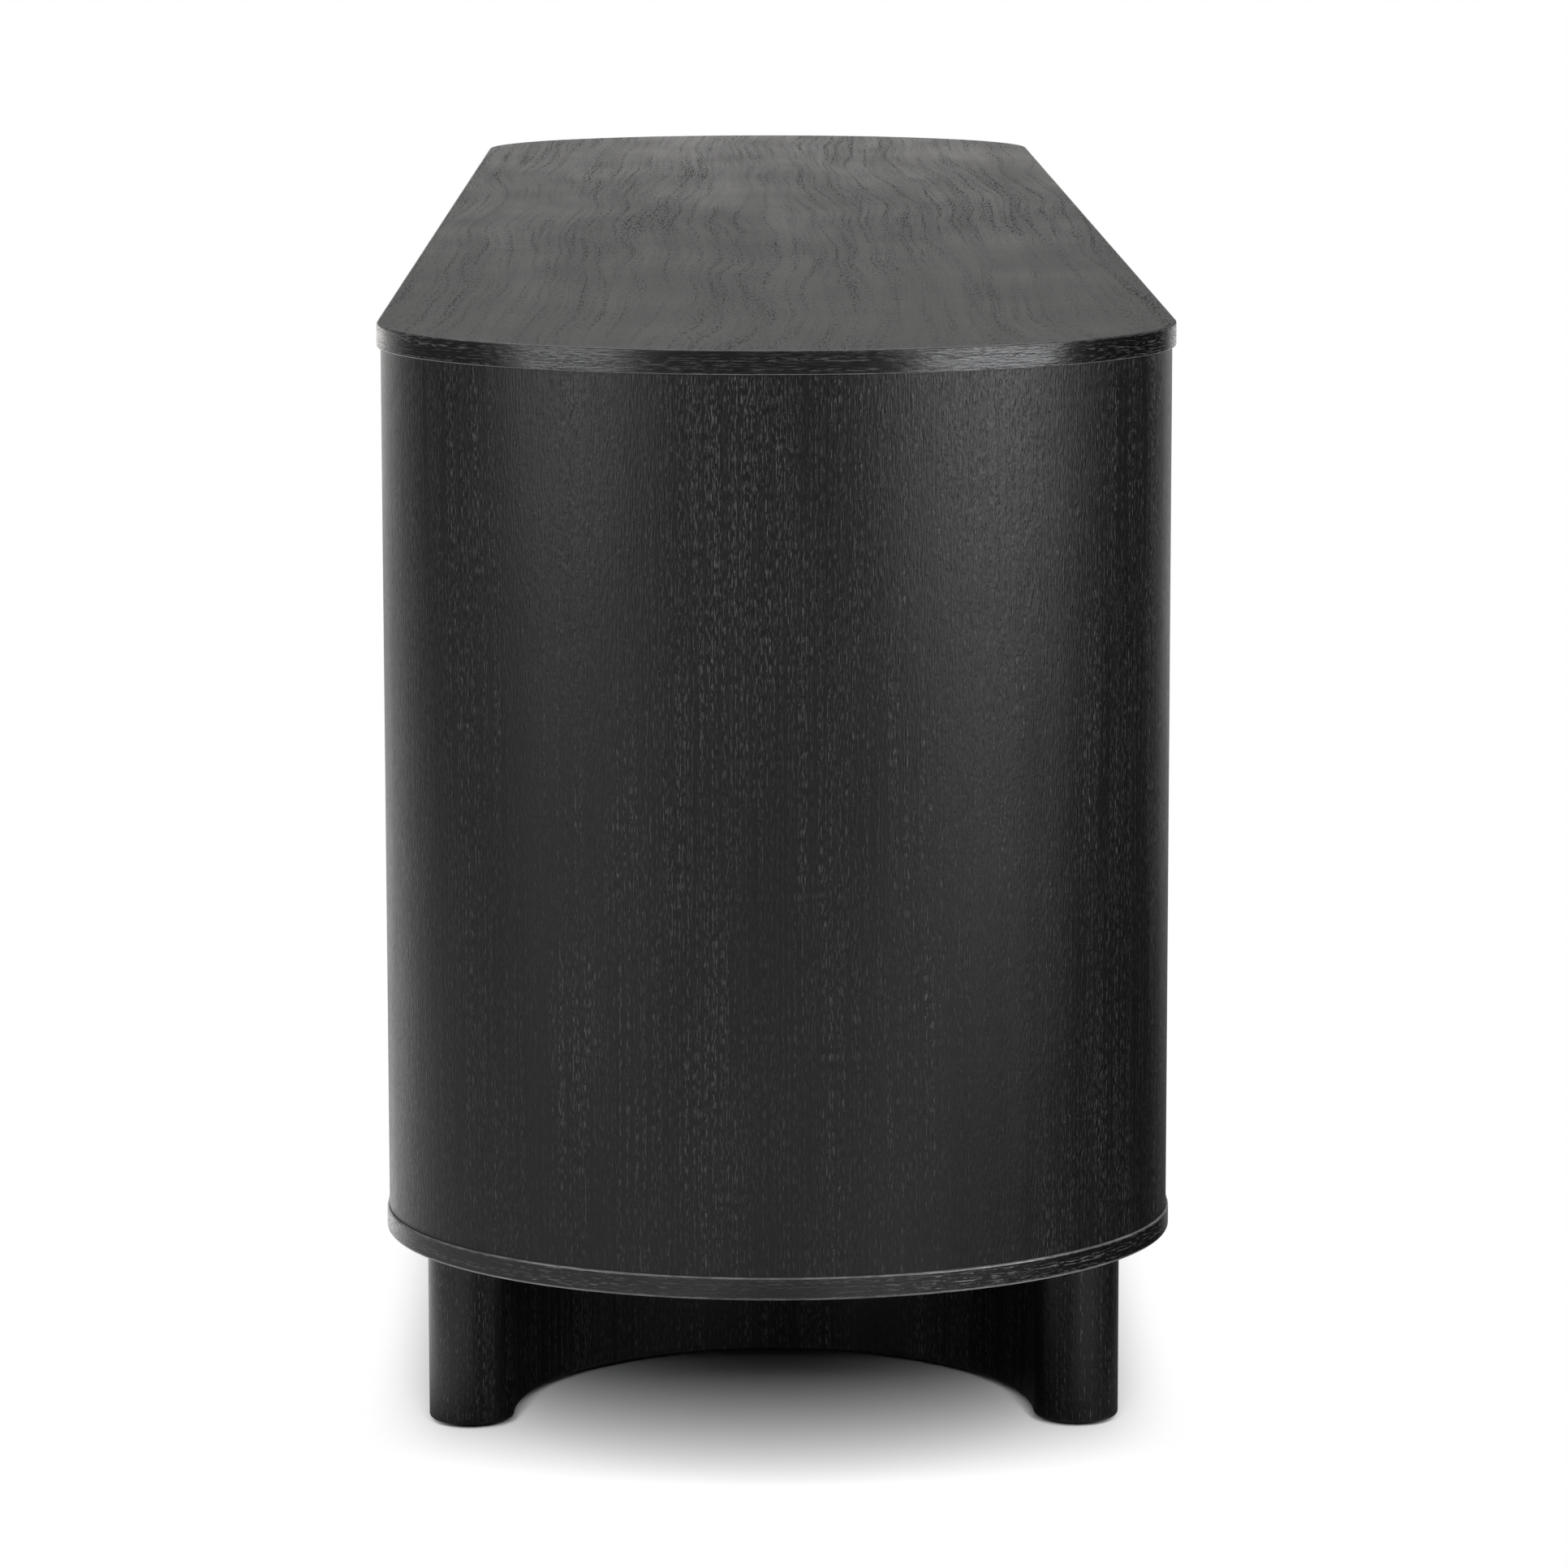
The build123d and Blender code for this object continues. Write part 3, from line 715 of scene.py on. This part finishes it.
def right_leg(centre_x, outer):
    """The plan of the leg at +X: a thick half ring with round ends, open towards +X."""
    middle = outer - LEG_THICK / 2
    inner = outer - LEG_THICK
    nose = (LEG_THICK / 2, LEG_THICK / 2)
    points = arc((centre_x, 0), (outer, outer), 90, 180, ARC_STEPS)
    points += arc((centre_x, -middle), nose, -90, 180, NOSE_STEPS)
    points += arc((centre_x, 0), (inner, inner), -90, -180, ARC_STEPS)
    points += arc((centre_x, middle), nose, -90, 180, NOSE_STEPS)
    return without_repeats(points)


leg_low, leg_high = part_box("leg_right")
leg_outer = leg_high.y
leg_centre = leg_low.x + leg_outer
leg_rings = profile(leg_low.z, leg_high.z, FOOT_ROUND, 0.0)
right_outline = right_leg(leg_centre, leg_outer)
left_outline = [(-x, y) for x, y in reversed(right_outline)]
LEGS = {"right": (right_outline, (2.2, 9.0)), "left": (left_outline, (4.4, 12.0))}
for side_name, (outline, shift) in LEGS.items():
    piece(
        f"leg_ring_{side_name}",
        [prism(outline, leg_rings, along="up", shift=shift)],
        [BLACK_STRAIGHT],
        CABINET,
        [f"leg_{side_name}"],
    )

leg_middle = leg_outer - LEG_THICK / 2
glide_spots = []
for side in (1, -1):
    glide_spots.append((side * leg_centre, leg_middle))
    glide_spots.append((side * leg_centre, -leg_middle))
    glide_spots.append((side * (leg_centre - leg_middle), 0.0))
pad_rings = [
    (*GLIDE_DISH, 0.0),
    *profile(0.0, GLIDE_TALL, GLIDE_ROUND, GLIDE_TOP_ROUND, 0.0, 0.0),
]
piece(
    "glide_pads",
    [prism(around(GLIDE_RADIUS, spot), pad_rings) for spot in glide_spots],
    [NYLON],
    CABINET,
    ["glides"],
)


# ---------------------------------------------------------------- back panel screws

SCREW_RADIUS = 0.00175
SCREW_TIP = 0.0006
SCREW_POINT = 0.004
HEAD_RADIUS = 0.0040
HEAD_HEIGHT = 0.0014
HEAD_DOME = (  # the head's side from its seat to its crown, as (how far in from its rim, height)
    (0.0002, 0.0),
    (0.0, 0.0002),
    (0.0, 0.0005),
    (0.0004, 0.0009),
    (0.0010, 0.0012),
    (0.0017, 0.00135),
)
CROSS_REACH = 0.0021
CROSS_HALF = 0.00045
CROSS_DEEP = 0.0010
CROSS_TAPER = 0.75  # the size of the recess at its bottom, as a share of its mouth
SCREWS_PER_BOARD = 5


def screw(x, z, tip_y, head_y):
    """A screw along +Y with a domed head and a cross recess in it."""
    def place(a, b, height):
        return (x - a, head_y + height, z + b)

    seat = -HEAD_HEIGHT
    shank = [
        (around(SCREW_TIP), tip_y - head_y),
        (around(SCREW_RADIUS), tip_y - head_y + SCREW_POINT),
        (around(SCREW_RADIUS), seat),
    ]
    dome = [(around(HEAD_RADIUS - inset), seat + height) for inset, height in HEAD_DOME]
    recess = [
        (cross(CROSS_REACH, CROSS_HALF), 0.0),
        (cross(CROSS_REACH * CROSS_TAPER, CROSS_HALF * CROSS_TAPER), -CROSS_DEEP),
    ]
    return loft(shank + dome + recess, place)


screws_low, screws_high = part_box("back_screws")
first_z = screws_low.z + HEAD_RADIUS
gap_z = (screws_high.z - screws_low.z - 2 * HEAD_RADIUS) / (SCREWS_PER_BOARD - 1)
screw_columns = []
for board in ("side_upright_left", "divider_left", "divider_right", "side_upright_right"):
    board_low, board_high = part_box(board)
    screw_columns.append((board_low.x + board_high.x) / 2)
piece(
    "back_screw_set",
    [
        screw(x, first_z + step * gap_z, screws_low.y, screws_high.y)
        for x in screw_columns
        for step in range(SCREWS_PER_BOARD)
    ],
    [BLACK_STEEL],
    CABINET,
    ["back_screws"],
)


# ---------------------------------------------------------------- drawer fronts

def front_outline(low, high):
    """A front seen from outside, with a scoop in the middle of its top edge."""
    middle = (low.x + high.x) / 2
    radius = ((SCOOP_WIDTH / 2) ** 2 + SCOOP_DEPTH**2) / (2 * SCOOP_DEPTH)
    centre = (middle, high.z + radius - SCOOP_DEPTH)
    spread = math.degrees(math.asin(SCOOP_WIDTH / 2 / radius))
    scoop = arc(centre, (radius, radius), -90 + spread, -2 * spread, SCOOP_STEPS)
    shouldered = [(low.x, low.z), (high.x, low.z), (high.x, high.z), *scoop, (low.x, high.z)]
    return eased(shouldered, CORNER_ROUND)


for drawer in DRAWERS:
    low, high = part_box(f"{drawer}_front")
    piece(
        f"{drawer}_face",
        [
            prism(
                front_outline(low, high),
                profile(-high.y, -low.y, CORNER_ROUND, FRONT_ROUND),
                upright,
                shift=(11.0, 6.0),
            )
        ],
        [BLACK_STRAIGHT],
        drawer,
        [f"{drawer}_front"],
    )


# ---------------------------------------------------------------- parts kept from the frame

WELD_WITHIN = 0.00001


def keep(node, material, edge):
    """Gives a part of the frame its material and slightly eased edges."""
    part = frame["nodes"][node]
    part.data.materials.clear()
    part.data.materials.append(material)
    weld = part.modifiers.new("weld", "WELD")
    weld.merge_threshold = WELD_WITHIN
    bevel = part.modifiers.new("edges", "BEVEL")
    bevel.width = edge
    bevel.segments = 2
    bevel.limit_method = "ANGLE"
    bevel.angle_limit = SHARP_EDGE
    bevel.harden_normals = True


# The axes of a board: along its grain, across it, and through the board
GRAIN_UP = (2, 1, 0)
LYING = (0, 1, 2)
DEEP = (1, 2, 0)
STANDING = (0, 2, 1)
carcass_up = wood("carcass_upright", solid(GRAIN_UP), CARCASS)
carcass_across = wood("carcass_across", solid(LYING), CARCASS)
side_wood = wood("drawer_wood_deep", solid(DEEP), PALE)
back_wood = wood("drawer_wood_across", solid(STANDING), PALE)
ply = wood("drawer_plywood", solid(LYING), PLY)
black_back = wood("black_wood_back", solid(STANDING), BLACK)

KEPT = {  # each node's material, and how wide its eased edges are
    "back_panel": (black_back, 0.0004),
    "side_upright_left": (carcass_up, 0.0006),
    "side_upright_right": (carcass_up, 0.0006),
    "divider_left": (carcass_up, 0.0006),
    "divider_right": (carcass_up, 0.0006),
    "end_ribs_left": (carcass_across, 0.0005),
    "end_ribs_right": (carcass_across, 0.0005),
    "mid_rails": (carcass_across, 0.0006),
    "top_stretchers": (carcass_across, 0.0006),
    "leg_inserts": (BRASS, 0.0003),
    "leg_bolts": (BLACK_STEEL, 0.0006),
    "front_bumpers": (RUBBER, 0.0004),
    "cabinet_runners": (STEEL, 0.0003),
}
for drawer in DRAWERS:
    KEPT[f"{drawer}_side_left"] = (side_wood, 0.0010)
    KEPT[f"{drawer}_side_right"] = (side_wood, 0.0010)
    KEPT[f"{drawer}_back"] = (back_wood, 0.0010)
    KEPT[f"{drawer}_bottom"] = (ply, 0.0002)
    KEPT[f"{drawer}_runners"] = (STEEL, 0.0003)
for node, (material, edge) in KEPT.items():
    keep(node, material, edge)


# ---------------------------------------------------------------- floor, light and camera

FLOOR_REACH = 60.0
FLOOR_SEEN = 1.0  # how bright the floor is to the camera, so that it comes out white
FLOOR_EDGE = 0.03  # this far inside the dresser's plan it starts to fade to plain white
FLOOR_FADE = 0.07
FLOOR_GREY = 0.01  # how bright it is to everything else
FLOOR_GLOW = 0.42  # how much light comes up from it near the end of the dresser
LEGS_BOOST = 1.8  # how much more of it there is next to the legs
STRIP_GLOW = 1.1  # how much comes from the parts that show as bright strips down the body's edges
END_MIDDLE = (1.1, 0.0)  # m, in plan, just in front of the end

NEUTRAL = (1.0, 1.0, 1.0)
COOL = (0.97, 0.98, 1.0)
WARM_WHITE = grey(1.0, (1.0, 0.985, 0.97))


def stage_plane(name, corners, material):
    """A flat piece of the studio, not of the object."""
    mesh = bpy.data.meshes.new(name)
    mesh.from_pydata(corners, [], [(0, 1, 2, 3)])
    mesh.materials.append(material)
    plane = bpy.data.objects.new(name, mesh)
    bpy.context.scene.collection.objects.link(plane)
    return plane


def glow_beside(tree, x, y, distance):
    """How lit the floor is in front of the end, on the drawers' side and next to the legs."""
    drawer_side = tree.step(y, -0.18, -0.40)
    either_side = tree.math("ABSOLUTE", y)
    by_legs = tree.math("MULTIPLY", tree.step(either_side, 0.13, 0.20), tree.step(x, -0.5, -0.2))
    by_legs = tree.math("MULTIPLY", by_legs, tree.step(either_side, 0.6, 0.3, 0.0, LEGS_BOOST))
    front = tree.step(x, 0.0, 0.8)
    lit = tree.math("MAXIMUM", tree.math("MAXIMUM", drawer_side, front), by_legs)
    return tree.math("MULTIPLY", lit, tree.step(distance, 1.5, 5.0, 1.0, 0.25))


def glow_behind(tree, x, y, distance):
    """How lit the floor is along the dresser's two long sides, where the body's edges mirror it."""
    turned = tree.math("DIVIDE", tree.math("MULTIPLY", x, -1.0), distance)
    wide = tree.math("MULTIPLY", tree.step(turned, 0.55, 0.90), tree.step(y, -0.18, -0.40))
    thin = tree.math("MULTIPLY", tree.step(turned, 0.78, 0.97), tree.step(y, 0.1, 0.4))
    thin = tree.math("MULTIPLY", thin, tree.step(distance, 1.0, 5.0, 0.3, 1.6))
    both = tree.math("ADD", wide, thin)
    return tree.math("MULTIPLY", both, tree.step(distance, 1.5, 5.0, 0.85, 0.6))


def floor_glow(tree, place):
    """The light that comes up from each spot of the floor, by where it lies from the end."""
    parts = tree.split(place)
    x = tree.math("SUBTRACT", parts[0], END_MIDDLE[0])
    y = tree.math("SUBTRACT", parts[1], END_MIDDLE[1])
    distance = tree.length(tree.joined(x, y, 0.0))
    pool = tree.math("MULTIPLY", glow_beside(tree, x, y, distance), FLOOR_GLOW)
    strips = tree.math("MULTIPLY", glow_behind(tree, x, y, distance), STRIP_GLOW)
    return tree.math("ADD", pool, strips)


def make_floor():
    """A floor that the camera sees white with a soft shadow, and that gives the object its glow."""
    tree = material_tree("studio_floor")
    place = object_place(tree)
    plan = (slab_high.x, slab_high.y - FLOOR_EDGE, 0.0)
    outside = tree.vector("SUBTRACT", tree.vector("ABSOLUTE", place), plan)
    distance = tree.length(tree.vector("MAXIMUM", outside))
    lit = tree.node("ShaderNodeBsdfDiffuse", {"Color": grey(FLOOR_SEEN)})
    white = tree.node("ShaderNodeEmission", {"Color": grey(1.0)})
    far = tree.step(distance, 0.0, FLOOR_FADE)
    seen = tree.node("ShaderNodeMixShader", {0: far, 1: lit, 2: white})
    dull = tree.node("ShaderNodeBsdfDiffuse", {"Color": grey(FLOOR_GREY)})
    glow = {"Color": grey(1.0), "Strength": floor_glow(tree, place)}
    bright = tree.node("ShaderNodeEmission", glow)
    felt = tree.node("ShaderNodeAddShader", {0: dull, 1: bright})
    camera_ray = tree.node("ShaderNodeLightPath", {}, 0)
    both = tree.node("ShaderNodeMixShader", {0: camera_ray, 1: felt, 2: seen})
    tree.node("ShaderNodeOutputMaterial", {"Surface": both})
    reach = FLOOR_REACH / 2
    corners = [(-reach, -reach, 0), (reach, -reach, 0), (reach, reach, 0), (-reach, reach, 0)]
    return stage_plane("studio_floor", corners, tree.owner)


def make_card(name, x, wide, tall, strength):
    """A lit card behind the far end, square to X, that only reflections see."""
    tree = material_tree(name)
    glow = tree.node("ShaderNodeEmission", {"Color": WARM_WHITE, "Strength": strength})
    tree.node("ShaderNodeOutputMaterial", {"Surface": glow})
    corners = [
        (x, wide[1], tall[0]),
        (x, wide[1], tall[1]),
        (x, wide[0], tall[1]),
        (x, wide[0], tall[0]),
    ]
    card = stage_plane(name, corners, tree.owner)
    card.visible_camera = False
    card.visible_shadow = False
    card.visible_diffuse = False


def make_world():
    """White to the camera. To the object, a backdrop that is brightest behind its far end."""
    world = bpy.data.worlds.new("studio")
    bpy.context.scene.world = world
    tree = Tree(world)
    direction = tree.split(tree.node("ShaderNodeTexCoord", {}, 0))
    behind = tree.step(direction[0], -0.5, -0.95, 0.03, 0.14)
    left = tree.step(direction[1], 0.1, -1.0, 0.0, 0.03)
    soft = tree.mix(tree.math("ADD", behind, left), grey(0.0), WARM_WHITE)
    camera_ray = tree.node("ShaderNodeLightPath", {}, 0)
    colour = tree.mix(camera_ray, soft, grey(1.0))
    shade = tree.node("ShaderNodeBackground", {"Color": colour, "Strength": 1.0})
    tree.node("ShaderNodeOutputWorld", {"Surface": shade})


def softbox(name, place, target, size, radiance, tint, lights):
    """A rectangular soft light of that strength over its face, for one collection of objects."""
    data = bpy.data.lights.new(name, "AREA")
    data.shape = "RECTANGLE"
    data.size, data.size_y = size
    data.energy = radiance * math.pi * size[0] * size[1]
    data.color = tint
    light = bpy.data.objects.new(name, data)
    light.location = place
    aim = Vector(target) - Vector(place)
    light.rotation_mode = "QUATERNION"
    light.rotation_quaternion = aim.to_track_quat("-Z", "Y")
    light.visible_camera = False
    bpy.context.scene.collection.objects.link(light)
    light.light_linking.receiver_collection = lights


dresser_only = bpy.data.collections.new("lit_dresser")
for thing in list(bpy.context.scene.objects):
    if thing.type == "MESH":
        dresser_only.objects.link(thing)
floor_only = bpy.data.collections.new("lit_floor")
floor_only.objects.link(make_floor())
make_world()
make_card("backdrop", -4.5, (-3.4, 0.45), (0.0, 1.09), 1.6)
make_card("reflector", -2.2, (-0.7, 0.5), (0.5, 1.0), 1.06)

SOFTBOXES = {  # place, where it points, size, strength, tint, and what it lights
    "overhead": ((-1.3, -0.3, 3.4), (-1.3, -0.3, 0.0), (5.0, 3.6), 1.35, NEUTRAL, dresser_only),
    "floor_front": ((4.6, 0.0, 1.85), (0.6, 0.0, 0.0), (2.0, 0.95), 82.0, NEUTRAL, floor_only),
    "side_plus_y": ((2.45, 2.20, 1.13), (1.3, 0.0, 0.70), (2.1, 1.4), 5.4, COOL, dresser_only),
    "side_minus_y": ((2.55, -2.20, 1.15), (1.3, 0.0, 0.70), (1.7, 1.5), 3.2, COOL, dresser_only),
}
for name, settings in SOFTBOXES.items():
    softbox(name, *settings)

SENSOR = 36.0
LENS = 141.26
SHIFT_DOWN = 0.05
CAMERA_PLACE = (4.3831, -0.0315, 1.0259)
CAMERA_YAW = math.radians(0.579)
CAMERA_PITCH = math.radians(8.404)
CAMERA_ROLL = math.radians(-0.08)

camera_data = bpy.data.cameras.new("camera")
camera_data.sensor_width = SENSOR
camera_data.lens = LENS
camera_data.shift_y = -SHIFT_DOWN
camera = bpy.data.objects.new("camera", camera_data)
camera.location = CAMERA_PLACE
sight = Vector(
    (
        -math.cos(CAMERA_YAW) * math.cos(CAMERA_PITCH),
        math.sin(CAMERA_YAW) * math.cos(CAMERA_PITCH),
        -math.sin(CAMERA_PITCH),
    )
)
camera.rotation_mode = "QUATERNION"
level = sight.to_track_quat("-Z", "Y")
camera.rotation_quaternion = level @ Quaternion((0, 0, 1), CAMERA_ROLL)
bpy.context.scene.collection.objects.link(camera)
bpy.context.scene.camera = camera
bpy.context.scene.view_settings.view_transform = "Standard"
